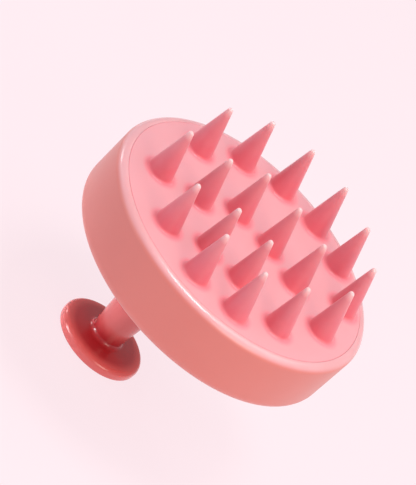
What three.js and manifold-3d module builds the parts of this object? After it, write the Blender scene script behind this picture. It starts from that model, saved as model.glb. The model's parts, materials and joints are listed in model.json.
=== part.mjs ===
// Scalp massager brush: a round hollow drum with a soft bristle pad in its face, held in the
// hand by a stem and a flat knob behind it. Millimetres, +Z up, standing on the knob, with the
// origin on the drum's axis at the knob's foot.

import * as THREE from "three";
import { mergeVertices } from "three/addons/utils/BufferGeometryUtils.js";
import Module from "manifold-3d";

const wasm = await Module();
wasm.setup();

// ---------------------------------------------------------------- driving dimensions

const CLEARANCE = 0.3; // between neighbouring pieces
const DRUM_SIDES = 60; // facets round the drum, the pad and the carrier
const STEM_SIDES = 32; // facets round the handle
const BRISTLE_SIDES = 14; // facets round a bristle and its cup
const CUP_ROWS = 8; // facets from pole to pole of a cup
const SMALL_SIDES = 14; // facets round posts, screws and holes
const OVERSHOOT = 1; // how far a cutter runs past the face it opens
const WELD_DISTANCE = 1e-4; // corners nearer than this are one corner

// Drum shell
const FACE_HEIGHT = 49.3; // from the knob's foot to the pad's face
const DRUM_DEPTH = 17.3;
const FRONT_RADIUS = 38.4;
const BACK_RADIUS = 38;
const FRONT_ROUND = 2.2;
const BACK_ROUND = 3;
const RIM_WIDTH = 2.4; // wall at the face, outside the pad
const WALL_AT_FLOOR = 2.2;
const FLOOR_THICKNESS = 2.5;

// Bristle pad
const MEMBRANE_THICKNESS = 2.5;
const LIP_WIDTH = 1.6; // thicker edge that locates the pad on the carrier
const LIP_DROP = 2.8;
const PAD_EDGE_CHAMFER = 0.3;
const PLUG_WALL = 0.8; // round the deepest part of a cup
const PLUG_FLOOR = 0.95; // under a cup
const EDGE_WALL = 0.45; // between the outermost cup and the pad's edge

// Bristles
const BRISTLE_ROOT_RADIUS = 3.75;
const BRISTLE_TIP_RADIUS = 0.75;
const BRISTLE_LENGTH = 14; // along the bristle, above the pad's face
const BRISTLE_LEAN = 6.5; // degrees, towards -X

// Each bristle's bearing from +X in degrees, and its distance from the drum's axis as a share
// of the furthest one that the pad has room for.
const OUTER_BRISTLES = [
  [148, 0.9], [119.5, 0.945], [95.5, 0.985], [73, 1], [50.5, 1], [24, 0.98],
  [-7, 0.91], [-41, 0.86], [-69, 0.945], [-94.5, 0.92], [-125.5, 0.865], [-165, 0.865],
];
const INNER_BRISTLES = [
  [-171.5, 0.48], [132.5, 0.285], [50, 0.255], [9.5, 0.505], [-68.5, 0.52], [-107, 0.525],
];

// Carrier plate and its screws, each one in the middle of the four bristles that are named
const CARRIER_THICKNESS = 3;
const CARRIER_SKIRT_DROP = 2;
const CARRIER_SKIRT_WIDTH = 1.4;
const CARRIER_SCREW_NEIGHBOURS = [[0, 1, 12, 13], [4, 5, 14, 15], [6, 7, 15, 16], [10, 11, 12, 17]];
const CARRIER_SCREW = { headRadius: 2.5, headHeight: 1.4, shankRadius: 1.1, length: 7, slot: 0.5 };
const RECESS_SPAN = 1.2; // length of a cross recess, in head radii
const POST_WALL = 1.7;
const POST_FOOT_GAP = 1; // material under a post's blind hole, above the floor

// Handle
const HANDLE_OFFSET = -6.6; // the handle's axis, along X from the drum's
const KNOB_RADIUS = 11.9;
const KNOB_THICKNESS = 3;
const KNOB_TOP_ROUND = 1.3;
const KNOB_FOOT_ROUND = 0.9;
const KNOB_CROWN = 0.4; // rise of the knob's top towards the stem
const WAIST_RADIUS = 4.4; // stem just above the knob
const WAIST_FILLET = 1.2;
const STEM_TAPER = 5.5; // degrees, a side, where the stem leaves the knob
const STEM_STRAIGHTNESS = 0.73; // share of the stem's length that keeps close to that taper
const SHOULDER_RADIUS = 8; // stem against the drum
const SHOULDER_THICKNESS = 1;
const SPIGOT_RADIUS = 4;
const BOSS_WALL = 2.7; // round the spigot's hole in the drum's floor
const BOSS_RISE = 2; // above the floor
const HANDLE_SCREW = { headRadius: 3.8, headHeight: 2.4, shankRadius: 1.8, length: 11.5, slot: 0.9 };
const WASHER_RADIUS = 6;
const WASHER_THICKNESS = 1;

// ---------------------------------------------------------------- places worked out from them

const backHeight = FACE_HEIGHT - DRUM_DEPTH;
const floorTop = backHeight + FLOOR_THICKNESS;
const rimInnerRadius = FRONT_RADIUS - RIM_WIDTH;
const cavityFloorRadius = BACK_RADIUS - WALL_AT_FLOOR;

const padRadius = rimInnerRadius - CLEARANCE;
const membraneUnderside = FACE_HEIGHT - MEMBRANE_THICKNESS;
const lipUnderside = membraneUnderside - LIP_DROP;
const cupRadius = BRISTLE_ROOT_RADIUS + CLEARANCE;
const cupAtMembrane = Math.sqrt(Math.max(cupRadius ** 2 - MEMBRANE_THICKNESS ** 2, 1));
const plugRadius = cupAtMembrane + PLUG_WALL;
const plugUnderside = FACE_HEIGHT - cupRadius - PLUG_FLOOR;
const furthestBristle = padRadius - cupRadius - EDGE_WALL;

const carrierTop = membraneUnderside - CLEARANCE;
const carrierUnderside = carrierTop - CARRIER_THICKNESS;
const carrierRadius = padRadius - LIP_WIDTH - CLEARANCE;

const handleScrewHole = HANDLE_SCREW.shankRadius + CLEARANCE;
const bossTop = floorTop + BOSS_RISE;
const bossHoleRadius = SPIGOT_RADIUS + CLEARANCE;
const spigotTop = bossTop - CLEARANCE;
const shoulderTop = backHeight - CLEARANCE;
const washerUnderside = bossTop + CLEARANCE;

const handlePlace = new THREE.Vector2(HANDLE_OFFSET, 0);
const polar = ([bearing, share]) => {
  const angle = THREE.MathUtils.degToRad(bearing);
  return new THREE.Vector2(Math.cos(angle), Math.sin(angle)).multiplyScalar(share * furthestBristle);
};
const bristlePlaces = [...OUTER_BRISTLES, ...INNER_BRISTLES].map(polar);
const middleOf = (places) => places
  .reduce((sum, place) => sum.add(place), new THREE.Vector2())
  .divideScalar(places.length);
const carrierScrewPlaces = CARRIER_SCREW_NEIGHBOURS
  .map((neighbours) => middleOf(neighbours.map((number) => bristlePlaces[number])));

// ---------------------------------------------------------------- finishes

const finish = (color, roughness, metalness = 0) => (
  new THREE.MeshStandardMaterial({ color, roughness, metalness })
);
const finishes = {
  drum: finish(0xdd8580, 0.55),
  silicone: finish(0xf5aab0, 0.5),
  bristle: finish(0xe8707c, 0.45),
  handle: finish(0xa8303a, 0.2),
  carrier: finish(0xf1ece8, 0.6),
  steel: finish(0xb9bcc0, 0.35, 0.9),
};

// ---------------------------------------------------------------- shape helpers

// The point at an angle (degrees) on a circle in a profile's (radius, height) plane.
const onCircle = (centreRadius, centreHeight, radius, angle) => {
  const radians = THREE.MathUtils.degToRad(angle);
  return [centreRadius + radius * Math.cos(radians), centreHeight + radius * Math.sin(radians)];
};

// A quarter or any other stretch of arc in a profile, as a list of points.
const arc = (centreRadius, centreHeight, radius, from, to, steps) => (
  Array.from({ length: steps + 1 }, (_, i) => (
    onCircle(centreRadius, centreHeight, radius, from + ((to - from) * i) / steps)
  ))
);

// Spins a profile of [radius, height] points about Z. The profile starts and ends on the axis,
// or closes on itself, and runs anticlockwise in the (radius, height) plane.
const revolve = (profile, sides) => {
  const points = profile.map(([radius, height]) => new THREE.Vector2(radius, height));
  return new THREE.LatheGeometry(points, sides).rotateX(Math.PI / 2);
};

const closedRevolve = (profile, sides) => revolve([...profile, profile[0]], sides);

// A cylinder about Z between two heights.
const post = (place, radius, bottom, top, sides = SMALL_SIDES) => (
  new THREE.CylinderGeometry(radius, radius, top - bottom, sides)
    .rotateX(Math.PI / 2)
    .translate(place.x, place.y, (bottom + top) / 2)
);

// A closed three.js geometry as a solid that can be joined and cut.
const solid = (geometry) => {
  const bare = geometry.clone();
  bare.deleteAttribute("normal");
  bare.deleteAttribute("uv");
  const merged = mergeVertices(bare, WELD_DISTANCE);
  const corners = merged.index.array;
  const kept = [];
  for (let i = 0; i < corners.length; i += 3) {
    const [a, b, c] = corners.slice(i, i + 3);
    if (a !== b && b !== c && c !== a) kept.push(a, b, c);
  }
  return new wasm.Manifold(new wasm.Mesh({
    numProp: 3,
    vertProperties: merged.attributes.position.array,
    triVerts: new Uint32Array(kept),
  }));
};

const join = (body, additions) => additions.reduce((sum, added) => sum.add(solid(added)), body);
const cut = (body, cutters) => cutters.reduce((rest, cutter) => rest.subtract(solid(cutter)), body);

// A solid back as a named three.js mesh.
const piece = (name, body, material) => {
  const { vertProperties, triVerts } = body.getMesh();
  const geometry = new THREE.BufferGeometry();
  geometry.setAttribute("position", new THREE.BufferAttribute(vertProperties, 3));
  geometry.setIndex(new THREE.BufferAttribute(triVerts, 1));
  geometry.computeVertexNormals();
  const mesh = new THREE.Mesh(geometry, material);
  mesh.name = name;
  return mesh;
};

// ---------------------------------------------------------------- drum shell

// A cup with a rounded rim and a rounded back edge. Posts take the carrier's screws, and a
// boss round an off-centre hole takes the handle's spigot.
function drumShell() {
  const rimCentre = FRONT_RADIUS - FRONT_ROUND;
  const rimStart = THREE.MathUtils.radToDeg(Math.acos((rimInnerRadius - rimCentre) / FRONT_ROUND));
  const cup = revolve([
    [0, backHeight],
    ...arc(BACK_RADIUS - BACK_ROUND, backHeight + BACK_ROUND, BACK_ROUND, -90, 0, 5),
    ...arc(rimCentre, FACE_HEIGHT - FRONT_ROUND, FRONT_ROUND, 0, rimStart, 5),
    [rimInnerRadius, carrierUnderside],
    [cavityFloorRadius, floorTop],
    [0, floorTop],
  ], DRUM_SIDES);
  const postRadius = CARRIER_SCREW.shankRadius + CLEARANCE + POST_WALL;
  const postFoot = floorTop - FLOOR_THICKNESS / 2;
  const postTop = carrierUnderside - CLEARANCE;
  const posts = carrierScrewPlaces.map((place) => post(place, postRadius, postFoot, postTop));
  const boss = post(handlePlace, bossHoleRadius + BOSS_WALL, postFoot, bossTop, STEM_SIDES);
  const screwHoles = carrierScrewPlaces.map((place) => (
    post(place, CARRIER_SCREW.shankRadius + CLEARANCE, floorTop + POST_FOOT_GAP,
      postTop + OVERSHOOT)
  ));
  const handleHole = post(handlePlace, bossHoleRadius, backHeight - OVERSHOOT,
    bossTop + OVERSHOOT, STEM_SIDES);
  return piece("drum_shell", cut(join(solid(cup), [...posts, boss]), [...screwHoles, handleHole]),
    finishes.drum);
}

// ---------------------------------------------------------------- bristle pad and bristles

// A membrane with a thicker lip. Under each bristle a plug carries the cup that its root
// rocks in.
function bristlePad() {
  const membrane = revolve([
    [0, membraneUnderside],
    [padRadius - LIP_WIDTH, membraneUnderside],
    [padRadius - LIP_WIDTH, lipUnderside],
    [padRadius, lipUnderside],
    [padRadius, FACE_HEIGHT - PAD_EDGE_CHAMFER],
    [padRadius - PAD_EDGE_CHAMFER, FACE_HEIGHT],
    [0, FACE_HEIGHT],
  ], DRUM_SIDES);
  const plugTop = FACE_HEIGHT - MEMBRANE_THICKNESS / 2;
  const plugs = bristlePlaces.map((place) => (
    post(place, plugRadius, plugUnderside, plugTop, BRISTLE_SIDES)
  ));
  const cups = bristlePlaces.map((place) => (
    new THREE.SphereGeometry(cupRadius, BRISTLE_SIDES, CUP_ROWS)
      .rotateX(Math.PI / 2)
      .translate(place.x, place.y, FACE_HEIGHT)
  ));
  return piece("bristle_pad", cut(join(solid(membrane), plugs), cups), finishes.silicone);
}

// A cone with a round tip and a half-ball root, so that it can rock in its cup.
function bristle(number, place) {
  const tipCentre = BRISTLE_LENGTH - BRISTLE_TIP_RADIUS;
  const sideAngle = THREE.MathUtils.radToDeg(
    Math.asin((BRISTLE_ROOT_RADIUS - BRISTLE_TIP_RADIUS) / tipCentre),
  );
  const geometry = revolve([
    ...arc(0, 0, BRISTLE_ROOT_RADIUS, -90, 0, 4),
    ...arc(0, tipCentre, BRISTLE_TIP_RADIUS, sideAngle, 90, 2),
  ], BRISTLE_SIDES);
  geometry.rotateY(-THREE.MathUtils.degToRad(BRISTLE_LEAN));
  geometry.translate(place.x, place.y, FACE_HEIGHT);
  return piece(`bristle_${String(number).padStart(2, "0")}`, solid(geometry), finishes.bristle);
}

// ---------------------------------------------------------------- carrier plate

// A stiff plate behind the pad. The inner plugs pass through round holes, and the outer ones
// through notches that are open at the plate's edge.
function padCarrier() {
  const skirtInner = carrierRadius - CARRIER_SKIRT_WIDTH;
  const plate = revolve([
    [0, carrierUnderside],
    [skirtInner, carrierUnderside],
    [skirtInner, carrierUnderside - CARRIER_SKIRT_DROP],
    [carrierRadius, carrierUnderside - CARRIER_SKIRT_DROP],
    [carrierRadius, carrierTop],
    [0, carrierTop],
  ], DRUM_SIDES);
  const holeRadius = plugRadius + CLEARANCE;
  const bottom = carrierUnderside - CARRIER_SKIRT_DROP - OVERSHOOT;
  const top = carrierTop + OVERSHOOT;
  const holes = bristlePlaces.map((place) => post(place, holeRadius, bottom, top, BRISTLE_SIDES));
  const notches = bristlePlaces.slice(0, OUTER_BRISTLES.length).map((place) => {
    const reach = FRONT_RADIUS;
    const outwards = place.clone().normalize();
    const middle = place.clone().addScaledVector(outwards, reach / 2);
    return new THREE.BoxGeometry(reach, 2 * holeRadius, top - bottom)
      .rotateZ(outwards.angle())
      .translate(middle.x, middle.y, (bottom + top) / 2);
  });
  const seatHeight = carrierScrewSeat();
  const screwHoles = carrierScrewPlaces.map((place) => (
    post(place, CARRIER_SCREW.shankRadius + CLEARANCE, bottom, top)
  ));
  const headSeats = carrierScrewPlaces.map((place) => (
    post(place, CARRIER_SCREW.headRadius + CLEARANCE, seatHeight, top)
  ));
  const body = cut(solid(plate), [...holes, ...notches, ...screwHoles, ...headSeats]);
  return piece("pad_carrier", body, finishes.carrier);
}

// The height of the seat that a carrier screw's head bears on.
function carrierScrewSeat() {
  return carrierTop - CARRIER_SCREW.headHeight - 2 * CLEARANCE;
}

// ---------------------------------------------------------------- screws and washer

// A pan-head screw with a cross recess, head up, bearing at the given height.
function screw(name, place, bearing, { headRadius, headHeight, shankRadius, length, slot }) {
  const headEdge = headHeight / 3;
  const point = shankRadius;
  const body = revolve([
    [0, bearing - length],
    [shankRadius, bearing - length + point],
    [shankRadius, bearing],
    [headRadius, bearing],
    [headRadius, bearing + headHeight - headEdge],
    [headRadius - headEdge, bearing + headHeight],
    [0, bearing + headHeight],
  ], SMALL_SIDES);
  body.translate(place.x, place.y, 0);
  const arm = RECESS_SPAN * headRadius;
  const recess = [[arm, slot], [slot, arm]].map(([alongX, alongY]) => (
    new THREE.BoxGeometry(alongX, alongY, headHeight)
      .translate(place.x, place.y, bearing + headHeight)
  ));
  return piece(name, cut(solid(body), recess), finishes.steel);
}

function handleWasher() {
  const ring = closedRevolve([
    [handleScrewHole, washerUnderside],
    [WASHER_RADIUS, washerUnderside],
    [WASHER_RADIUS, washerUnderside + WASHER_THICKNESS],
    [handleScrewHole, washerUnderside + WASHER_THICKNESS],
  ], STEM_SIDES);
  ring.translate(HANDLE_OFFSET, 0, 0);
  return piece("handle_washer", solid(ring), finishes.steel);
}

// ---------------------------------------------------------------- handle

// One moulding: a flat knob, a waisted stem that flares towards the drum, and a bored spigot.
function handle() {
  const knobTop = KNOB_THICKNESS + KNOB_CROWN;
  const waist = knobTop + WAIST_FILLET;
  const shoulder = shoulderTop - SHOULDER_THICKNESS;
  const stemLength = shoulder - waist;
  const taper = (stemLength / 3) * Math.tan(THREE.MathUtils.degToRad(STEM_TAPER));
  const flare = new THREE.CubicBezierCurve(
    new THREE.Vector2(WAIST_RADIUS, waist),
    new THREE.Vector2(WAIST_RADIUS + taper, waist + stemLength / 3),
    new THREE.Vector2(WAIST_RADIUS + 2 * taper, waist + STEM_STRAIGHTNESS * stemLength),
    new THREE.Vector2(SHOULDER_RADIUS, shoulder),
  );
  const boreFloor = spigotTop - HANDLE_SCREW.length;
  const geometry = revolve([
    [0, 0],
    ...arc(KNOB_RADIUS - KNOB_FOOT_ROUND, KNOB_FOOT_ROUND, KNOB_FOOT_ROUND, -90, 0, 3),
    ...arc(KNOB_RADIUS - KNOB_TOP_ROUND, KNOB_THICKNESS - KNOB_TOP_ROUND, KNOB_TOP_ROUND, 0, 90, 4),
    ...arc(WAIST_RADIUS + WAIST_FILLET, waist, WAIST_FILLET, 270, 180, 3),
    ...flare.getPoints(7).slice(1).map(({ x, y }) => [x, y]),
    [SHOULDER_RADIUS, shoulderTop],
    [SPIGOT_RADIUS, shoulderTop],
    [SPIGOT_RADIUS, spigotTop],
    [handleScrewHole, spigotTop],
    [handleScrewHole, boreFloor],
    [0, boreFloor],
  ], STEM_SIDES);
  geometry.translate(HANDLE_OFFSET, 0, 0);
  return piece("handle", solid(geometry), finishes.handle);
}

// ---------------------------------------------------------------- assembly

const brush = new THREE.Group();
brush.add(drumShell(), bristlePad(), padCarrier(), handle(), handleWasher());
bristlePlaces.forEach((place, index) => brush.add(bristle(index + 1, place)));
carrierScrewPlaces.forEach((place, index) => {
  const bearing = carrierScrewSeat() + CLEARANCE;
  brush.add(screw(`carrier_screw_${index + 1}`, place, bearing, CARRIER_SCREW));
});
const handleScrewBearing = washerUnderside + WASHER_THICKNESS + CLEARANCE;
brush.add(screw("handle_screw", handlePlace, handleScrewBearing, HANDLE_SCREW));

export default brush;
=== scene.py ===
"""Scalp massager brush: the finished look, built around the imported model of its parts.

A coral drum with a pale rim holds a pink silicone pad. Eighteen soft cones stand on the pad,
and a glossy red stem and knob behind the drum are what the hand holds. Lengths are in metres,
with +Z from the knob towards the cones' tips.
"""

import functools
import json
import logging
import math
from dataclasses import dataclass
from enum import Enum
from typing import Callable, Iterable, Sequence, Union

import bpy
from mathutils import Matrix, Vector


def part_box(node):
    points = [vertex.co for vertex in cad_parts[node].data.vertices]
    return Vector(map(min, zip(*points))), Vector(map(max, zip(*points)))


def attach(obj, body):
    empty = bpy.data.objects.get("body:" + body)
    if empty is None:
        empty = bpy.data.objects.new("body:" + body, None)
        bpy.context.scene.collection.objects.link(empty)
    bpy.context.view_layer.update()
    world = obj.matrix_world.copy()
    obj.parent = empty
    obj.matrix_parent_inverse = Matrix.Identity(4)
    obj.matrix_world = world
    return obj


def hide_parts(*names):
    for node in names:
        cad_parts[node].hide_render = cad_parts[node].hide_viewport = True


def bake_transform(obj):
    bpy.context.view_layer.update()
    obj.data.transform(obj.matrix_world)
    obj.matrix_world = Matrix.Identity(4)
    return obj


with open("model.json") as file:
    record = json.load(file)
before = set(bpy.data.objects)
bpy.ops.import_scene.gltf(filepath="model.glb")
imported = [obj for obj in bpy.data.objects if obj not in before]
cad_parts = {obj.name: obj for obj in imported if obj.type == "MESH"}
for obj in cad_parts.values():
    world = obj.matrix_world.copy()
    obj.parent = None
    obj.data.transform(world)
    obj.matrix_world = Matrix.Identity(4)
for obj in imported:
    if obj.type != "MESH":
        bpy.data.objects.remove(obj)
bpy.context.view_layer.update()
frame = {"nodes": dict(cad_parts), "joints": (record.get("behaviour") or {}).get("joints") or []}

log = logging.getLogger("massager")

MM = 0.001
TINY = 1e-6  # what counts as the same height or place
OVERSHOOT = MM  # how far a cutting rod runs past the piece that it cuts
BRUSH_BODY = "brush"

Colour = tuple[float, float, float]
Outline = list[tuple[float, float]]


# --------------------------------------------------------------------------- named choices


class Slot(Enum):
    """The record's material slots."""

    DRUM = "drum"
    PAD = "pad"
    BRISTLE = "bristle"
    HANDLE = "handle"
    CARRIER = "carrier"
    STEEL = "steel"


class Pick(Enum):
    """What edit mode selects."""

    VERTICES = "VERT"
    EDGES = "EDGE"
    FACES = "FACE"


class Joining(Enum):
    """What a boolean modifier does with the second piece."""

    ADD = "UNION"
    CUT = "DIFFERENCE"


# --------------------------------------------------------------------------- shader maths


class Signal:
    """A number, colour or vector on its way through a shader, with arithmetic for numbers."""

    def __init__(self, graph: "Graph", socket: bpy.types.NodeSocket) -> None:
        """Wraps one output socket.

        Args:
            graph: The node tree that the socket belongs to.
            socket: The output socket.
        """
        self.graph = graph
        self.socket = socket

    def _math(self, operation: str, *operands: "Operand") -> "Signal":
        """Adds one Math node and returns its result."""
        return self.graph.node(
            "ShaderNodeMath", {"operation": operation}, dict(enumerate(operands))
        )

    def __add__(self, other: "Operand") -> "Signal":
        """self + other."""
        return self._math("ADD", self, other)

    __radd__ = __add__

    def __sub__(self, other: "Operand") -> "Signal":
        """self - other."""
        return self._math("SUBTRACT", self, other)

    def __rsub__(self, other: "Operand") -> "Signal":
        """other - self."""
        return self._math("SUBTRACT", other, self)

    def __mul__(self, other: "Operand") -> "Signal":
        """self * other."""
        return self._math("MULTIPLY", self, other)

    __rmul__ = __mul__

    def at_least(self, other: "Operand") -> "Signal":
        """The larger of the two."""
        return self._math("MAXIMUM", self, other)

    def at_most(self, other: "Operand") -> "Signal":
        """The smaller of the two."""
        return self._math("MINIMUM", self, other)

    def ramp(self, low: float, high: float) -> "Signal":
        """A soft step from 0 at low to 1 at high, clamped outside them."""
        return self.graph.node(
            "ShaderNodeMapRange",
            {"interpolation_type": "SMOOTHSTEP"},
            {"Value": self, "From Min": low, "From Max": high},
        )


Operand = Union[Signal, float, int, Sequence[float]]


class Graph:
    """The node tree of one material, with its Principled shader ready to be fed."""

    def __init__(self, name: str) -> None:
        """Makes the material.

        Args:
            name: The material's name.
        """
        self.material = bpy.data.materials.new(name)
        self.material.use_nodes = True
        self.tree = self.material.node_tree
        self.shader = self.tree.nodes["Principled BSDF"]

    def node(
        self,
        kind: str,
        settings: dict[str, object],
        inputs: dict[Union[str, int], Operand],
        output: Union[str, int] = 0,
    ) -> Signal:
        """Adds one node.

        Args:
            kind: The node's type.
            settings: Its properties, set first. "stops" are a colour ramp's (place, colour).
            inputs: Values or links for its sockets, by name or number.
            output: The socket that is wanted, by name or number.

        Returns:
            That output socket as a Signal.
        """
        node = self.tree.nodes.new(kind)
        for key, value in settings.items():
            if key == "stops":
                self._set_stops(node.color_ramp, value)
            else:
                setattr(node, key, value)
        for key, value in inputs.items():
            self._feed(node.inputs[key], value)
        return Signal(self, node.outputs[output])

    @staticmethod
    def _set_stops(ramp: bpy.types.ColorRamp, stops: Sequence[tuple[float, Colour]]) -> None:
        """Gives a colour ramp its stops.

        Args:
            ramp: The ramp.
            stops: Its (place, colour) pairs, with places from 0 to 1.
        """
        while len(ramp.elements) < len(stops):
            ramp.elements.new(1.0)
        for element, (place, colour) in zip(ramp.elements, stops):
            element.position = place
            element.color = (*colour, 1.0)

    def _feed(self, socket: bpy.types.NodeSocket, value: Operand) -> None:
        """Links a Signal to a socket, or sets the socket to a value.

        Args:
            socket: An input socket.
            value: A Signal, or a number, colour or vector. A colour gets its alpha here.
        """
        if isinstance(value, Signal):
            self.tree.links.new(value.socket, socket)
        elif isinstance(value, tuple) and len(value) == 3 and len(socket.default_value) == 4:
            socket.default_value = (*value, 1.0)
        else:
            socket.default_value = value

    def set(self, **inputs: Operand) -> None:
        """Feeds the Principled shader: base_color=... is its Base Color socket, and so on."""
        for key, value in inputs.items():
            self._feed(self.shader.inputs[key.replace("_", " ").title()], value)

    def place(self) -> Signal:
        """Object coordinates, in metres."""
        return self.node("ShaderNodeTexCoord", {}, {}, "Object")

    def along(self, axis: str) -> Signal:
        """One Object coordinate: "X", "Y" or "Z"."""
        return self.node("ShaderNodeSeparateXYZ", {}, {"Vector": self.place()}, axis)

    def radius_from(self, axis: tuple[float, float, float]) -> Signal:
        """Distance from an upright axis that goes through this point.

        Args:
            axis: The point.

        Returns:
            The distance, in metres.
        """
        away = self.node(
            "ShaderNodeVectorMath", {"operation": "SUBTRACT"}, {0: self.place(), 1: axis}
        )
        level = self.node(
            "ShaderNodeVectorMath", {"operation": "MULTIPLY"}, {0: away, 1: (1.0, 1.0, 0.0)}
        )
        return self.node("ShaderNodeVectorMath", {"operation": "LENGTH"}, {0: level}, "Value")

    def attribute(self, name: str) -> Signal:
        """A number kept on the mesh."""
        return self.node("ShaderNodeAttribute", {"attribute_name": name}, {}, "Fac")

    def noise(self, grain: float, detail: float = 2.0, roughness: float = 0.5) -> Signal:
        """Smooth noise from 0 to 1.

        Args:
            grain: The size of one patch, in metres.
            detail: How many finer layers it has.
            roughness: How strong the finer layers are.

        Returns:
            The noise.
        """
        return self.node(
            "ShaderNodeTexNoise",
            {},
            {"Vector": self.place(), "Scale": 1 / grain, "Detail": detail, "Roughness": roughness},
        )

    def blend(self, share: Operand, first: Operand, second: Operand) -> Signal:
        """A colour between two others: first where share is 0, second where it is 1.

        Args:
            share: How much of the second colour there is, from 0 to 1.
            first: One colour.
            second: The other colour.

        Returns:
            The mixed colour.
        """
        node = self.tree.nodes.new("ShaderNodeMix")
        node.data_type = "RGBA"
        for socket in node.inputs:
            if socket.identifier == "Factor_Float":
                self._feed(socket, share)
            elif socket.identifier == "A_Color":
                self._feed(socket, first)
            elif socket.identifier == "B_Color":
                self._feed(socket, second)
        return Signal(self, next(s for s in node.outputs if s.identifier == "Result_Color"))

    def colours(self, value: Signal, stops: Sequence[tuple[float, Colour]]) -> Signal:
        """A colour read off a ramp."""
        return self.node("ShaderNodeValToRGB", {"stops": stops}, {"Fac": value}, "Color")

    def nearest(self, points: Sequence[Vector]) -> Signal:
        """Distance to the nearest of these points, in metres.

        Args:
            points: The points.

        Returns:
            The distance.
        """
        place = self.place()
        away = [
            self.node(
                "ShaderNodeVectorMath", {"operation": "DISTANCE"}, {0: place, 1: point}, "Value"
            )
            for point in points
        ]
        return functools.reduce(Signal.at_most, away)

    def bump(self, height: Signal, depth: float) -> Signal:
        """A normal that follows a height map from 0 to 1, with this depth in metres."""
        return self.node(
            "ShaderNodeBump", {}, {"Height": height, "Distance": depth, "Strength": 1.0}, "Normal"
        )


# --------------------------------------------------------------------------- finishes


@dataclass(frozen=True)
class SoftTouchPlastic:
    """The drum: coral moulded plastic with a soft-touch skin, paler over the rounded rim: partly
    the rim's own pinker tint, partly painted light where the rounding faces up.
    """

    face_height: float
    side: Colour = (0.715, 0.222, 0.196)
    # rim: pale pink, partly the rim's own tint and partly painted light on the upward-facing
    # rounding.
    rim: Colour = (0.80, 0.405, 0.435)
    cloudy: Colour = (0.60, 0.17, 0.15)
    rim_top: float = 0.5 * MM
    rim_foot: float = 1.6 * MM

    def material(self) -> bpy.types.Material:
        """Builds the finish.

        Returns:
            The material.
        """
        g = Graph("soft_touch_coral")
        depth = self.face_height - g.along("Z")
        # Painted light, partly real tint: down the rim's rounding the pale rim colour fades to the
        # side colour, so the upward-facing rim reads lighter.
        below_rim = depth.ramp(self.rim_top, self.rim_foot)
        body = g.blend(below_rim, self.rim, self.side)
        cloud = g.noise(14 * MM, detail=3)
        shade = g.blend(cloud.ramp(0.3, 0.7) * 0.12, body, self.cloudy)
        grain = g.noise(0.16 * MM, detail=2)
        rub = g.noise(2.6 * MM, detail=4, roughness=0.65)
        height = grain * 0.7 + rub * 0.3
        g.set(
            base_color=shade,
            roughness=0.36 + grain * 0.10 + rub * 0.08,
            normal=g.bump(height, 0.005 * MM),
            coat_weight=0.75 - below_rim * 0.6,
            coat_roughness=0.16,
            sheen_weight=0.08,
            sheen_roughness=0.5,
            subsurface_weight=0.12,
            subsurface_radius=(1.0, 0.35, 0.28),
            subsurface_scale=1.2 * MM,
        )
        return g.material


@dataclass(frozen=True)
class PadSilicone:
    """The pad: pale pink satin silicone, with painted shade in rose round each cone's root and
    along the seam edge.
    """

    seam_radius: float
    roots: tuple[Vector, ...]
    root_radius: float
    # Where the painted shade round each root begins and ends, measured out from the root's radius.
    root_shade_start: float = -0.3 * MM
    root_shade_end: float = 2.0 * MM
    edge_width: float = 0.3 * MM
    skin: Colour = (0.775, 0.360, 0.395)
    cloudy: Colour = (0.81, 0.32, 0.36)
    # deep: the rose of the painted shade round the roots and along the seam.
    deep: Colour = (0.90, 0.200, 0.250)

    def material(self) -> bpy.types.Material:
        """Builds the finish.

        Returns:
            The material.
        """
        g = Graph("pad_silicone")
        reach = g.radius_from((0.0, 0.0, 0.0))
        # Painted shade along the seam: the pad darkens towards its edge, where it meets the drum's
        # rim.
        edge = reach.ramp(self.seam_radius - self.edge_width, self.seam_radius)
        cloud = g.noise(9 * MM, detail=3)
        skin = g.blend(cloud.ramp(0.3, 0.7) * 0.10, self.skin, self.cloudy)
        grain = g.noise(0.12 * MM, detail=2)
        ripple = g.noise(3.2 * MM, detail=2)
        # Painted shade: the pad turns rose round each cone's root, where the cones shade it.
        spread = g.nearest(self.roots).ramp(
            self.root_radius + self.root_shade_start, self.root_radius + self.root_shade_end
        )
        root_shade = 1 - spread
        g.set(
            base_color=g.blend(root_shade.at_least(edge * 0.4), skin, self.deep),
            roughness=0.40 + grain * 0.08 + ripple * 0.06,
            normal=g.bump(grain * 0.2 + ripple * 0.8, 0.008 * MM),
            subsurface_weight=0.12,
            subsurface_radius=(1.0, 0.35, 0.30),
            subsurface_scale=0.8 * MM,
        )
        return g.material


@dataclass(frozen=True)
class ConeSilicone:
    """The cones: rose silicone with random cloudy patches, and a ramp up each cone that paints
    shade low down and light at the tip.
    """

    # Up the cone: the deeper rose of low and middle is painted shade near the pad, and the pale
    # high and tip colours are a painted highlight.
    root: Colour = (0.86, 0.235, 0.280)
    low: Colour = (0.76, 0.140, 0.190)
    middle: Colour = (0.72, 0.185, 0.235)
    high: Colour = (0.73, 0.250, 0.290)
    tip: Colour = (0.87, 0.61, 0.62)
    cloudy: Colour = (0.80, 0.34, 0.37)

    def material(self) -> bpy.types.Material:
        """Builds the finish.

        Returns:
            The material.
        """
        g = Graph("cone_silicone")
        # The ramp paints light and shade up the cone: darker rose low down, a pale painted
        # highlight at the tip.
        stops = [
            (0.0, self.root),
            (0.06, self.low),
            (0.45, self.middle),
            (0.84, self.high),
            (1.0, self.tip),
        ]
        body = g.colours(g.attribute(BristleField.RISE), stops)
        cloud = g.noise(4 * MM, detail=3)
        grain = g.noise(0.12 * MM, detail=2)
        g.set(
            base_color=g.blend(cloud.ramp(0.35, 0.7) * 0.10, body, self.cloudy),
            roughness=0.34 + grain * 0.08 + cloud * 0.06,
            normal=g.bump(grain * 0.2 + cloud * 0.8, 0.008 * MM),
            sheen_weight=0.25,
            sheen_roughness=0.45,
            subsurface_weight=0.3,
            subsurface_radius=(1.0, 0.30, 0.28),
            subsurface_scale=1.2 * MM,
        )
        return g.material


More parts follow.
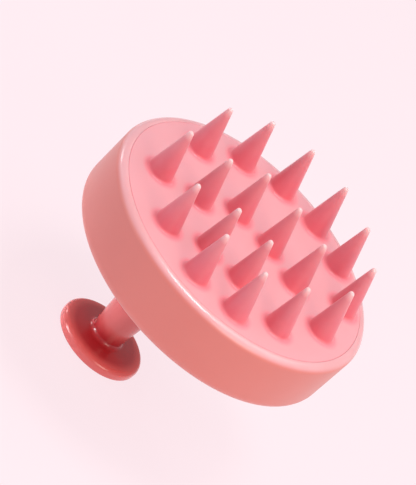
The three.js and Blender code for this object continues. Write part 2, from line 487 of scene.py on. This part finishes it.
@dataclass(frozen=True)
class GlossPlastic:
    """The handle: glossy coral-red, with painted shade in deep red on the knob's top round the
    stem's foot, under the drum.
    """

    axis: tuple[float, float, float]
    # deep: the red of the painted shade on the knob's top.
    deep: Colour = (0.40, 0.020, 0.027)
    knob: Colour = (0.66, 0.125, 0.120)
    stem: Colour = (0.58, 0.125, 0.125)
    cloudy: Colour = (0.60, 0.10, 0.10)
    shade_foot: tuple[float, float] = (1.6 * MM, 3.0 * MM)
    shade_top: tuple[float, float] = (4.4 * MM, 9.0 * MM)
    shade_reach: tuple[float, float] = (8.4 * MM, 11.4 * MM)
    stem_start: tuple[float, float] = (4 * MM, 9 * MM)

    def material(self) -> bpy.types.Material:
        """Builds the finish.

        Returns:
            The material.
        """
        g = Graph("gloss_red")
        height = g.along("Z")
        reach = g.radius_from(self.axis)
        # Painted shade: the knob's top round the stem's foot, under the drum, turns deep red.
        on_knob = height.ramp(*self.shade_foot) * (1 - height.ramp(*self.shade_top))
        knob_top_shade = on_knob * (1 - reach.ramp(*self.shade_reach))
        body = g.blend(height.ramp(*self.stem_start), self.knob, self.stem)
        cloud = g.noise(7 * MM, detail=3)
        flow = g.noise(1.1 * MM, detail=4, roughness=0.6)
        mottled = g.blend(cloud.ramp(0.35, 0.75) * 0.15, body, self.cloudy)
        g.set(
            base_color=g.blend(knob_top_shade, mottled, self.deep),
            roughness=0.18 + flow * 0.08,
            normal=g.bump(flow * 0.6 + cloud * 0.4, 0.010 * MM),
            coat_weight=0.35,
            coat_roughness=0.09,
            subsurface_weight=0.10,
            subsurface_radius=(1.0, 0.15, 0.12),
            subsurface_scale=2.0 * MM,
        )
        return g.material


@dataclass(frozen=True)
class PlainPlastic:
    """The carrier: off-white moulded plastic with faint flow marks."""

    skin: Colour = (0.82, 0.79, 0.76)
    cloudy: Colour = (0.70, 0.66, 0.62)

    def material(self) -> bpy.types.Material:
        """Builds the finish.

        Returns:
            The material.
        """
        g = Graph("carrier_white")
        flow = g.noise(5 * MM, detail=4, roughness=0.6)
        grain = g.noise(0.2 * MM)
        g.set(
            base_color=g.blend(flow.ramp(0.3, 0.7) * 0.2, self.skin, self.cloudy),
            roughness=0.45 + grain * 0.12,
            normal=g.bump(grain, 0.01 * MM),
        )
        return g.material


@dataclass(frozen=True)
class PlatedSteel:
    """Screws and washer: zinc-plated steel with fine turning marks and dull patches."""

    metal: Colour = (0.56, 0.57, 0.59)
    tarnish: Colour = (0.42, 0.43, 0.44)

    def material(self) -> bpy.types.Material:
        """Builds the finish.

        Returns:
            The material.
        """
        g = Graph("plated_steel")
        dull = g.noise(1.5 * MM, detail=4, roughness=0.7)
        turning = g.noise(0.08 * MM)
        g.set(
            base_color=g.blend(dull.ramp(0.4, 0.7) * 0.5, self.metal, self.tarnish),
            metallic=1.0,
            roughness=0.24 + dull * 0.18,
            normal=g.bump(turning, 0.004 * MM),
        )
        return g.material


@dataclass(frozen=True)
class PaleFloor:
    """The studio floor: pale pink paper."""

    paper: Colour = (0.105, 0.090, 0.095)
    fibre: Colour = (0.095, 0.078, 0.084)
    light: Colour = (1.0, 0.847, 0.895)
    glow: float = 0.866

    def material(self) -> bpy.types.Material:
        """Builds the finish.

        Returns:
            The material.
        """
        g = Graph("floor_paper")
        speckle = g.noise(0.6 * MM, detail=3)
        g.set(
            base_color=g.blend(speckle * 0.04, self.paper, self.fibre),
            roughness=0.9,
            emission_color=self.light,
            emission_strength=self.glow,
        )
        return g.material


# --------------------------------------------------------------------------- bench tools


def deselect_everything() -> None:
    """Leaves edit mode and clears the selection, the CAD nodes included."""
    if bpy.context.object and bpy.context.object.mode != "OBJECT":
        bpy.ops.object.mode_set(mode="OBJECT")
    bpy.ops.object.select_all(action="DESELECT")


def take_up(piece: bpy.types.Object) -> None:
    """Makes one piece the only selected one, and the active one.

    Args:
        piece: The piece.
    """
    deselect_everything()
    piece.select_set(True)
    bpy.context.view_layer.objects.active = piece


def name_new_piece(name: str) -> bpy.types.Object:
    """Names the piece that a primitive operator has just made, and returns it.

    Args:
        name: Its name.

    Returns:
        The piece.
    """
    piece = bpy.context.object
    piece.name = name
    piece.data.name = name
    return piece


def select_where(piece: bpy.types.Object, pick: Pick, test: Callable[[Vector], bool]) -> None:
    """In edit mode, selects the vertices, edges or faces whose vertices all pass a test.

    Args:
        piece: The piece in edit mode.
        pick: What to select.
        test: Takes a vertex's place and says whether it counts.
    """
    bpy.ops.mesh.select_mode(type=Pick.VERTICES.value)
    bpy.ops.mesh.select_all(action="DESELECT")
    bpy.ops.object.mode_set(mode="OBJECT")
    for vertex in piece.data.vertices:
        vertex.select = test(vertex.co)
    bpy.ops.object.mode_set(mode="EDIT")
    bpy.ops.mesh.select_mode(type=pick.value)


def arc(
    centre: tuple[float, float], radius: float, start: float, end: float, count: int
) -> Outline:
    """Points along a stretch of circle in the (radius, height) plane, angles in degrees.

    Args:
        centre: The circle's centre.
        radius: Its radius.
        start: The angle where the stretch starts.
        end: The angle where it ends.
        count: How many steps it has.

    Returns:
        The points, both ends included.
    """
    angles = [math.radians(start + (end - start) * i / count) for i in range(count + 1)]
    return [(centre[0] + radius * math.cos(a), centre[1] + radius * math.sin(a)) for a in angles]


def turn(name: str, outline: Outline, axis: tuple[float, float], steps: int) -> bpy.types.Object:
    """Draws an outline point by point and spins it round an upright axis.

    Args:
        name: The piece's name.
        outline: (radius, height) points that start and end on the axis.
        axis: Where the axis stands, (x, y).
        steps: How many facets go round.

    Returns:
        The closed piece, with its object at the origin.
    """
    deselect_everything()
    bpy.ops.mesh.primitive_plane_add(size=MM, location=(0, 0, 0))
    piece = name_new_piece(name)
    bpy.ops.object.mode_set(mode="EDIT")
    bpy.ops.mesh.select_all(action="SELECT")
    bpy.ops.mesh.merge(type="CENTER")
    radius, height = outline[0]
    bpy.ops.transform.translate(value=(axis[0] + radius, axis[1], height))
    for next_radius, next_height in outline[1:]:
        step = (next_radius - radius, 0.0, next_height - height)
        bpy.ops.mesh.extrude_region_move(TRANSFORM_OT_translate={"value": step})
        radius, height = next_radius, next_height
    bpy.ops.mesh.select_all(action="SELECT")
    bpy.ops.mesh.spin(steps=steps, angle=math.tau, center=(*axis, 0.0), axis=(0.0, 0.0, 1.0))
    bpy.ops.mesh.select_all(action="SELECT")
    bpy.ops.mesh.remove_doubles(threshold=TINY)
    bpy.ops.mesh.normals_make_consistent(inside=False)
    bpy.ops.object.mode_set(mode="OBJECT")
    return piece


def rod(name: str, place: Vector, radius: float, bottom: float, top: float) -> bpy.types.Object:
    """An upright cylinder between two heights, for adding to a piece or cutting from it.

    Args:
        name: Its name.
        place: Where its axis stands.
        radius: Its radius.
        bottom: Its lower end's height.
        top: Its upper end's height.

    Returns:
        The cylinder, with its object at the origin.
    """
    deselect_everything()
    bpy.ops.mesh.primitive_cylinder_add(
        vertices=48,
        radius=radius,
        depth=top - bottom,
        location=(place.x, place.y, (bottom + top) / 2),
    )
    piece = name_new_piece(name)
    bpy.ops.object.transform_apply(location=True, rotation=True, scale=True)
    return piece


def combine(piece: bpy.types.Object, tool: bpy.types.Object, joining: Joining) -> None:
    """Adds one piece to another or cuts it away, and discards it.

    Args:
        piece: The piece that stays.
        tool: The piece that is used up.
        joining: Whether the tool is added or cut away.
    """
    take_up(piece)
    bpy.ops.object.modifier_add(type="BOOLEAN")
    modifier = piece.modifiers[-1]
    modifier.operation = joining.value
    modifier.solver = "EXACT"
    modifier.object = tool
    bpy.ops.object.modifier_apply(modifier=modifier.name)
    bpy.data.objects.remove(tool)


def finish_surface(
    piece: bpy.types.Object, material: bpy.types.Material, crease: float = 35.0
) -> None:
    """Gives a piece its material, and smooth shading up to an angle in degrees.

    Args:
        piece: The piece.
        material: Its finish.
        crease: The angle.
    """
    piece.data.materials.clear()
    piece.data.materials.append(material)
    take_up(piece)
    bpy.ops.object.shade_smooth_by_angle(angle=math.radians(crease))
    deselect_everything()


def ride_on_brush(piece: bpy.types.Object, slot: Slot, *nodes: str) -> None:
    """Fixes a piece to the brush's main body, in place of the CAD nodes that it stands for.

    Args:
        piece: The piece.
        slot: Its material slot in the record. Not used.
        nodes: The CAD nodes that it replaces.
    """
    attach(piece, BRUSH_BODY)
    if nodes:
        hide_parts(*nodes)
    log.info("%s: %d faces", piece.name, len(piece.data.polygons))


def middle_of(node: str) -> Vector:
    """The middle of a CAD node's box."""
    low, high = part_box(node)
    return (low + high) / 2


# --------------------------------------------------------------------------- drum shell


@dataclass
class DrumShell:
    """The drum: a turned cup with four screw posts and a boss round the spigot's hole."""

    front_round: float = 2.2 * MM
    back_round: float = 3.0 * MM
    rim_width: float = 2.4 * MM
    rim_inner_round: float = 0.10 * MM
    back_draw_in: float = 0.4 * MM
    wall_at_floor: float = 2.2 * MM
    floor_thickness: float = 2.5 * MM
    post_radius: float = 3.1 * MM
    post_rise: float = 1.7 * MM
    post_hole_radius: float = 1.4 * MM
    post_hole_foot: float = 1.0 * MM
    boss_wall: float = 2.7 * MM
    boss_rise: float = 2.0 * MM
    spigot_hole_radius: float = 4.3 * MM
    steps: int = 180

    def outline(self, back: float, face: float, radius: float) -> Outline:
        """The cup's half section, from the back's centre round the rim to the inner floor.

        Args:
            back: The height of the drum's back.
            face: The height of the rim's top.
            radius: The drum's outer radius.

        Returns:
            Its (radius, height) points.
        """
        back_radius = radius - self.back_draw_in
        inner = radius - self.rim_width
        rim_centre = (radius - self.front_round, face - self.front_round)
        rim_end = math.degrees(
            math.acos((inner + self.rim_inner_round - rim_centre[0]) / self.front_round)
        )
        groove = (inner + self.rim_inner_round, face - self.rim_inner_round)
        return [
            (0.0, back),
            *arc((back_radius - self.back_round, back + self.back_round),
                 self.back_round, -90, 0, 10),
            *arc(rim_centre, self.front_round, 0, rim_end, 12),
            *arc(groove, self.rim_inner_round, 110, 180, 4),
            (inner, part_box("pad_carrier")[0].z),
            (back_radius - self.wall_at_floor, back + self.floor_thickness),
            (0.0, back + self.floor_thickness),
        ]

    def build(self) -> None:
        """Models the shell and fixes it to the brush."""
        low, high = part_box("drum_shell")
        back, face = low.z, high.z
        shell = turn("drum_shell_skin", self.outline(back, face, high.x), (0.0, 0.0), self.steps)
        floor = back + self.floor_thickness
        post_foot = floor - self.floor_thickness / 2
        post_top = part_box("pad_carrier")[0].z + self.post_rise
        screws = [name for name in frame["nodes"] if name.startswith("carrier_screw")]
        spots = [middle_of(name) for name in sorted(screws)]
        handle = middle_of("handle")
        boss = rod("boss", handle, self.spigot_hole_radius + self.boss_wall, post_foot,
                   floor + self.boss_rise)
        combine(shell, boss, Joining.ADD)
        for spot in spots:
            combine(shell, rod("post", spot, self.post_radius, post_foot, post_top), Joining.ADD)
            hole = rod("hole", spot, self.post_hole_radius, floor + self.post_hole_foot,
                       post_top + OVERSHOOT)
            combine(shell, hole, Joining.CUT)
        spigot = rod("spigot_hole", handle, self.spigot_hole_radius, back - OVERSHOOT,
                     floor + 2 * self.boss_rise)
        combine(shell, spigot, Joining.CUT)
        finish_surface(shell, SoftTouchPlastic(face_height=face).material())
        ride_on_brush(shell, Slot.DRUM, "drum_shell")


# --------------------------------------------------------------------------- bristle pad


@dataclass
class BristlePad:
    """The pad: a silicone membrane with a rounded edge, a sealing step and a deep lip."""

    edge_round: float = 0.10 * MM
    seam_depth: float = 0.13 * MM
    seam_width: float = 0.03 * MM
    seal_gap: float = 0.02 * MM
    membrane: float = 2.5 * MM
    lip_width: float = 1.6 * MM
    lip_depth: float = 5.3 * MM
    face_rings: tuple[float, ...] = (0.75, 0.5, 0.25)
    steps: int = 180

    def build(self) -> None:
        """Models the pad and fixes it to the brush."""
        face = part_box("bristle_pad")[1].z
        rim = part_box("drum_shell")[1].x - DrumShell.rim_width
        seal, radius = rim - self.seal_gap, rim - self.seam_width
        lip = face - self.lip_depth
        outline = [
            (0.0, face - self.membrane),
            (radius - self.lip_width, face - self.membrane),
            (radius - self.lip_width, lip),
            (seal, lip),
            (seal, face - self.seam_depth),
            (radius, face - self.seam_depth),
            *arc((radius - self.edge_round, face - self.edge_round), self.edge_round, 0, 90, 6),
            *((radius * share, face) for share in self.face_rings),
            (0.0, face),
        ]
        pad = turn("bristle_pad_skin", outline, (0.0, 0.0), self.steps)
        roots = tuple(Vector(joint["pos_m"]) for joint in frame["joints"])
        finish_surface(pad, PadSilicone(radius, roots, BristleField.root_radius).material())
        ride_on_brush(pad, Slot.PAD, "bristle_pad")


# --------------------------------------------------------------------------- bristles


@dataclass
class BristleField:
    """The cones: one is modelled, and a copy goes to every bristle hinge in the frame."""

    RISE = "rise"

    root_radius: float = 3.75 * MM
    tip_radius: float = 0.75 * MM
    length: float = 14.0 * MM
    lean: float = 6.5
    fillet: float = 0.8 * MM
    skirt: float = 0.15 * MM
    skirt_drop: float = 0.02 * MM
    plug: float = 0.5 * MM
    sides: int = 48
    tip_rings: int = 7
    fillet_segments: int = 8
    fillet_share: float = 0.999
    ring_spacing: float = 1.0 * MM
    bend_share: float = 0.6

    def taper(self) -> float:
        """Half the cone's angle, in radians."""
        return math.asin((self.root_radius - self.tip_radius) / (self.length - self.tip_radius))

    def model_cone(self) -> bpy.types.Object:
        """Models one upright cone with its root fillet at the origin.

        Returns:
            The cone, with its face plane at height 0.
        """
        taper = self.taper()
        shoulder = self.length - self.tip_radius * (1 - math.sin(taper))
        shoulder_radius = self.tip_radius * math.cos(taper)
        deselect_everything()
        bpy.ops.mesh.primitive_cone_add(
            vertices=self.sides,
            radius1=self.root_radius,
            radius2=shoulder_radius,
            depth=shoulder,
            location=(0, 0, shoulder / 2),
        )
        cone = name_new_piece("bristle_master")
        bpy.ops.object.transform_apply(location=True, rotation=True, scale=True)
        bpy.ops.object.mode_set(mode="EDIT")
        self._round_tip(cone, shoulder, shoulder_radius, taper)
        self._spread_root(cone, taper)
        self._cut_rings(shoulder)
        self._lean(cone)
        bpy.ops.mesh.select_all(action="SELECT")
        bpy.ops.mesh.normals_make_consistent(inside=False)
        bpy.ops.object.mode_set(mode="OBJECT")
        return cone

    def _round_tip(
        self, cone: bpy.types.Object, shoulder: float, shoulder_radius: float, taper: float
    ) -> None:
        """Extrudes the cone's flat end ring by ring into a ball, and closes its pole.

        Args:
            cone: The cone, in edit mode.
            shoulder: The height where the ball starts.
            shoulder_radius: The cone's radius there.
            taper: Half the cone's angle, in radians.
        """
        select_where(cone, Pick.FACES, lambda co: co.z > shoulder - TINY)
        centre = self.length - self.tip_radius
        height, radius = shoulder, shoulder_radius
        for ring in range(1, self.tip_rings + 1):
            angle = taper + (math.pi / 2 - taper) * ring / (self.tip_rings + 1)
            next_height = centre + self.tip_radius * math.sin(angle)
            next_radius = self.tip_radius * math.cos(angle)
            bpy.ops.mesh.extrude_region_move(
                TRANSFORM_OT_translate={"value": (0, 0, next_height - height)}
            )
            shrink = next_radius / radius
            bpy.ops.transform.resize(value=(shrink, shrink, 1), center_override=(0, 0, 0))
            height, radius = next_height, next_radius
        bpy.ops.mesh.merge(type="CENTER")
        bpy.ops.transform.translate(value=(0, 0, self.length - height))

    def _spread_root(self, cone: bpy.types.Object, taper: float) -> None:
        """Spreads the root into a fillet that ends flat on the pad, over a buried plug.

        Args:
            cone: The cone, in edit mode.
            taper: Half the cone's angle, in radians.
        """
        reach = self.fillet / math.tan((math.pi / 2 + taper) / 2)
        select_where(cone, Pick.FACES, lambda co: co.z < TINY)
        wider = (self.root_radius + reach) / self.root_radius
        bpy.ops.mesh.extrude_region_move(TRANSFORM_OT_translate={"value": (0, 0, 0)})
        bpy.ops.transform.resize(value=(wider, wider, 1), center_override=(0, 0, 0))
        outer = self.root_radius + reach
        for drop, gain in ((self.skirt_drop, self.skirt), (self.plug, 0.0)):
            grow = (outer + gain) / outer
            bpy.ops.mesh.extrude_region_move(TRANSFORM_OT_translate={"value": (0, 0, -drop)})
            bpy.ops.transform.resize(value=(grow, grow, 1), center_override=(0, 0, 0))
            outer += gain
        select_where(
            cone,
            Pick.EDGES,
            lambda co: abs(co.z) < TINY and abs(co.xy.length - self.root_radius) < 10 * TINY,
        )
        bpy.ops.mesh.bevel(
            offset=reach * self.fillet_share,
            segments=self.fillet_segments,
            profile=0.5,
            affect="EDGES",
        )

    def _cut_rings(self, shoulder: float) -> None:
        """Cuts level rings up the cone that is in edit mode, so that it can bend.

        Args:
            shoulder: The height where the rings stop.
        """
        height = self.fillet + self.ring_spacing
        while height < shoulder - self.ring_spacing / 2:
            bpy.ops.mesh.select_all(action="SELECT")
            bpy.ops.mesh.bisect(plane_co=(0, 0, height), plane_no=(0, 0, 1))
            height += self.ring_spacing

    def _lean(self, cone: bpy.types.Object) -> None:
        """Slides each ring sideways in turn, so that the cone leans and its root stays flat.

        Args:
            cone: The cone, in edit mode.
        """
        bpy.ops.object.mode_set(mode="OBJECT")
        heights = sorted({round(vertex.co.z, 7) for vertex in cone.data.vertices})
        slope = math.tan(math.radians(self.lean))
        bpy.ops.object.mode_set(mode="EDIT")
        levels = [height for height in heights if height > 0]
        below = 0.0
        for level in levels:
            select_where(cone, Pick.VERTICES, lambda co, edge=level - TINY / 4: co.z > edge)
            bpy.ops.transform.translate(value=(-slope * (level - below), 0, 0))
            below = level

    def build(self) -> None:
        """Models a cone and copies it to every hinge, in place of the CAD bristle there."""
        master = self.model_cone()
        self._store_rise(master)
        finish_surface(master, ConeSilicone().material(), crease=60.0)
        for joint in frame["joints"]:
            node = joint["child"]
            root = Vector(joint["pos_m"])
            cone = master.copy()
            cone.data = master.data.copy()
            cone.name = cone.data.name = f"{node}_skin"
            bpy.context.scene.collection.objects.link(cone)
            cone.data.transform(Matrix.Translation(root))
            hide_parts(node)
            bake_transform(cone)
        bpy.data.objects.remove(master)

    def _store_rise(self, cone: bpy.types.Object) -> None:
        """Keeps each vertex's height up the cone, from 0 to 1, for the finish to read.

        Args:
            cone: The cone.
        """
        rise = cone.data.attributes.new(self.RISE, "FLOAT", "POINT")
        for vertex, value in zip(cone.data.vertices, rise.data):
            value.value = min(max(vertex.co.z / self.length, 0.0), 1.0)


# --------------------------------------------------------------------------- handle


@dataclass
class Handle:
    """The stem and knob in one moulding, with the spigot that goes through the drum's back."""

    knob_radius: float = 11.9 * MM
    knob_thickness: float = 3.0 * MM
    top_round: float = 1.3 * MM
    foot_round: float = 0.9 * MM
    crown: float = 0.4 * MM
    waist_radius: float = 4.4 * MM
    waist_fillet: float = 1.2 * MM
    taper: float = 5.5
    shoulder_radius: float = 8.0 * MM
    shoulder_thickness: float = 1.0 * MM
    shoulder_round: float = 0.4 * MM
    spigot_radius: float = 4.0 * MM
    bore_radius: float = 2.1 * MM
    bore_depth: float = 11.5 * MM
    gate_radius: float = 1.5 * MM
    gate_depth: float = 0.3 * MM
    gate_slope: float = 0.1 * MM
    back_gap: float = 0.3 * MM
    flare_start: float = 2.2
    flare_points: int = 18
    steps: int = 128

    def flare(self, waist: float, shoulder: float) -> Outline:
        """The stem's outline from the waist to the shoulder, as a cubic curve.

        Args:
            waist: The height where the curve starts.
            shoulder: The height where it ends.

        Returns:
            Its (radius, height) points, without the first.
        """
        third = (shoulder - waist) / 3
        widen = third * math.tan(math.radians(self.taper))
        corners = [
            Vector((self.waist_radius, waist)),
            Vector((self.waist_radius + widen, waist + third)),
            Vector((self.waist_radius + 2 * widen, waist + self.flare_start * third)),
            Vector((self.shoulder_radius, shoulder)),
        ]
        points = []
        for step in range(1, self.flare_points + 1):
            t = step / self.flare_points
            weights = ((1 - t) ** 3, 3 * t * (1 - t) ** 2, 3 * t * t * (1 - t), t ** 3)
            point = sum((w * corner for w, corner in zip(weights, corners)), Vector((0, 0)))
            points.append((point.x, point.y))
        return points

    def build(self) -> None:
        """Models the handle and fixes it to the brush."""
        low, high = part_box("handle")
        centre = middle_of("handle")
        shoulder_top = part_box("drum_shell")[0].z - self.back_gap
        knob_top = self.knob_thickness + self.crown
        waist = knob_top + self.waist_fillet
        shoulder = shoulder_top - self.shoulder_thickness
        edge = self.shoulder_radius - self.shoulder_round
        outline = [
            (0.0, self.gate_depth),
            (self.gate_radius, self.gate_depth),
            (self.gate_radius + self.gate_slope, low.z),
            *arc((self.knob_radius - self.foot_round, self.foot_round), self.foot_round,
                 -90, 0, 8),
            *arc((self.knob_radius - self.top_round, self.knob_thickness - self.top_round),
                 self.top_round, 0, 88, 10),
            *arc((self.waist_radius + self.waist_fillet, waist), self.waist_fillet, 268, 180, 8),
            *self.flare(waist, shoulder),
            *arc((edge, shoulder_top - self.shoulder_round), self.shoulder_round, 0, 90, 4),
            (self.spigot_radius, shoulder_top),
            (self.spigot_radius, high.z),
            (self.bore_radius, high.z),
            (self.bore_radius, high.z - self.bore_depth),
            (0.0, high.z - self.bore_depth),
        ]
        handle = turn("handle_skin", outline, (centre.x, centre.y), self.steps)
        finish = GlossPlastic(axis=(centre.x, centre.y, 0.0))
        finish_surface(handle, finish.material(), crease=40.0)
        ride_on_brush(handle, Slot.HANDLE, "handle")


# --------------------------------------------------------------------------- inner pieces


@dataclass
class InnerPieces:
    """The carrier, screws and washer inside the drum keep their own shapes."""

    carrier: str = "pad_carrier"

    def build(self) -> None:
        """Gives each inner piece its finish."""
        self._dress([self.carrier], PlainPlastic().material())
        steel = [name for name in frame["nodes"] if "screw" in name or "washer" in name]
        self._dress(steel, PlatedSteel().material())

    @staticmethod
    def _dress(nodes: Iterable[str], material: bpy.types.Material) -> None:
        """Assigns a material to CAD nodes.

        Args:
            nodes: The nodes' names.
            material: Their finish.
        """
        for name in nodes:
            slots = frame["nodes"][name].data.materials
            slots.clear()
            slots.append(material)
            log.info("%s: %s", name, material.name)


# --------------------------------------------------------------------------- studio


@dataclass(frozen=True)
class SoftBox:
    """One square area light that faces the brush."""

    name: str
    direction: tuple[float, float, float]
    distance: float
    size: float
    power: float
    colour: Colour = (1.0, 1.0, 1.0)
    spread: float = 180.0

    def hang(self, target: Vector) -> None:
        """Places the light and turns it towards the target.

        Args:
            target: What it faces.
        """
        data = bpy.data.lights.new(self.name, "AREA")
        data.shape = "SQUARE"
        data.size = self.size
        data.energy = self.power
        data.color = self.colour
        data.spread = math.radians(self.spread)
        lamp = bpy.data.objects.new(self.name, data)
        bpy.context.scene.collection.objects.link(lamp)
        away = Vector(self.direction).normalized()
        lamp.location = target + away * self.distance
        lamp.rotation_euler = (-away).to_track_quat("-Z", "Y").to_euler()


@dataclass
class Studio:
    """The camera, the lights, the world and the floor."""

    elevation: float = 29.55
    roll: float = 46.8
    distance: float = 3.0
    pixels_per_mm: float = 4.164
    image_height: int = 485
    aim_right: float = -8.90 * MM
    aim_up: float = -0.28 * MM
    sensor: float = 36.0
    clip_start: float = 0.05
    clip_end: float = 20.0
    waist_height: float = 12 * MM
    knob_height: float = 4 * MM
    world_colour: Colour = (1.0, 0.90, 0.93)
    world_strength: float = 0.40
    floor_size: float = 6.0
    floor_drop: float = 0.05 * MM

    def set_camera(self) -> None:
        """A long lens, raised above the face and rolled so that the cones point up and right."""
        tilt, roll = math.radians(self.elevation), math.radians(self.roll)
        back = Vector((0.0, -math.cos(tilt), math.sin(tilt)))
        rise = Vector((0.0, math.sin(tilt), math.cos(tilt)))
        side = Vector((1.0, 0.0, 0.0))
        right = side * math.cos(roll) + rise * math.sin(roll)
        up = rise * math.cos(roll) - side * math.sin(roll)
        face = Vector((0.0, 0.0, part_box("bristle_pad")[1].z))
        data = bpy.data.cameras.new("camera")
        focal_pixels = self.pixels_per_mm * self.distance / MM
        data.lens = focal_pixels * self.sensor / self.image_height
        data.sensor_width = self.sensor
        data.clip_start = self.clip_start
        data.clip_end = self.clip_end
        camera = bpy.data.objects.new("camera", data)
        bpy.context.scene.collection.objects.link(camera)
        turned = Matrix((right, up, back)).transposed().to_4x4()
        place = face + back * self.distance + right * self.aim_right + up * self.aim_up
        camera.matrix_world = Matrix.Translation(place) @ turned
        bpy.context.scene.camera = camera
        bpy.context.scene.view_settings.view_transform = "Standard"

    def light(self) -> None:
        """Two boxes over the face, one at the left, a warm one opposite, and two for the handle."""
        target = Vector((0.0, 0.0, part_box("bristle_pad")[1].z))
        SoftBox("over_face", (0.0, 0.02, 1.0), 0.60, 0.20, 1.7).hang(target)
        SoftBox("over_wide", (0.35, 0.25, 1.0), 0.60, 0.50, 1.2).hang(target)
        SoftBox("left", (-1.0, -0.45, 0.15), 0.50, 0.30, 0.55, (1.0, 0.95, 0.98)).hang(target)
        SoftBox("right", (0.9, -0.8, 0.65), 0.60, 0.35, 1.55, (1.0, 0.78, 0.64)).hang(target)
        waist = middle_of("handle")
        waist.z = self.waist_height
        SoftBox("under_drum", (-1.0, -0.40, 0.0), 0.10, 0.025, 0.0022, spread=36.0).hang(waist)
        knob_top = middle_of("handle")
        knob_top.z = self.knob_height
        SoftBox("knob", (-0.8, 0.6, 0.35), 0.25, 0.11, 0.0034, spread=18.0).hang(knob_top)
        world = bpy.data.worlds.new("studio")
        bpy.context.scene.world = world
        world.use_nodes = True
        background = world.node_tree.nodes["Background"]
        background.inputs["Color"].default_value = (*self.world_colour, 1.0)
        background.inputs["Strength"].default_value = self.world_strength

    def lay_floor(self) -> None:
        """A wide plain floor, a hair under the knob's foot so that the two faces never fight."""
        deselect_everything()
        bpy.ops.mesh.primitive_plane_add(size=self.floor_size, location=(0, 0, -self.floor_drop))
        floor = name_new_piece("floor")
        floor.data.materials.append(PaleFloor().material())
        deselect_everything()

    def build(self) -> None:
        """Sets up everything that isn't the brush."""
        self.set_camera()
        self.light()
        self.lay_floor()


# --------------------------------------------------------------------------- assembly


def main() -> None:
    """Builds the studio and the brush, piece by piece."""
    logging.basicConfig(level=logging.INFO, format="%(name)s: %(message)s")
    for part in (Studio(), DrumShell(), BristlePad(), BristleField(), Handle(), InnerPieces()):
        log.info("building %s", type(part).__name__)
        part.build()


if __name__ == "__main__":
    main()
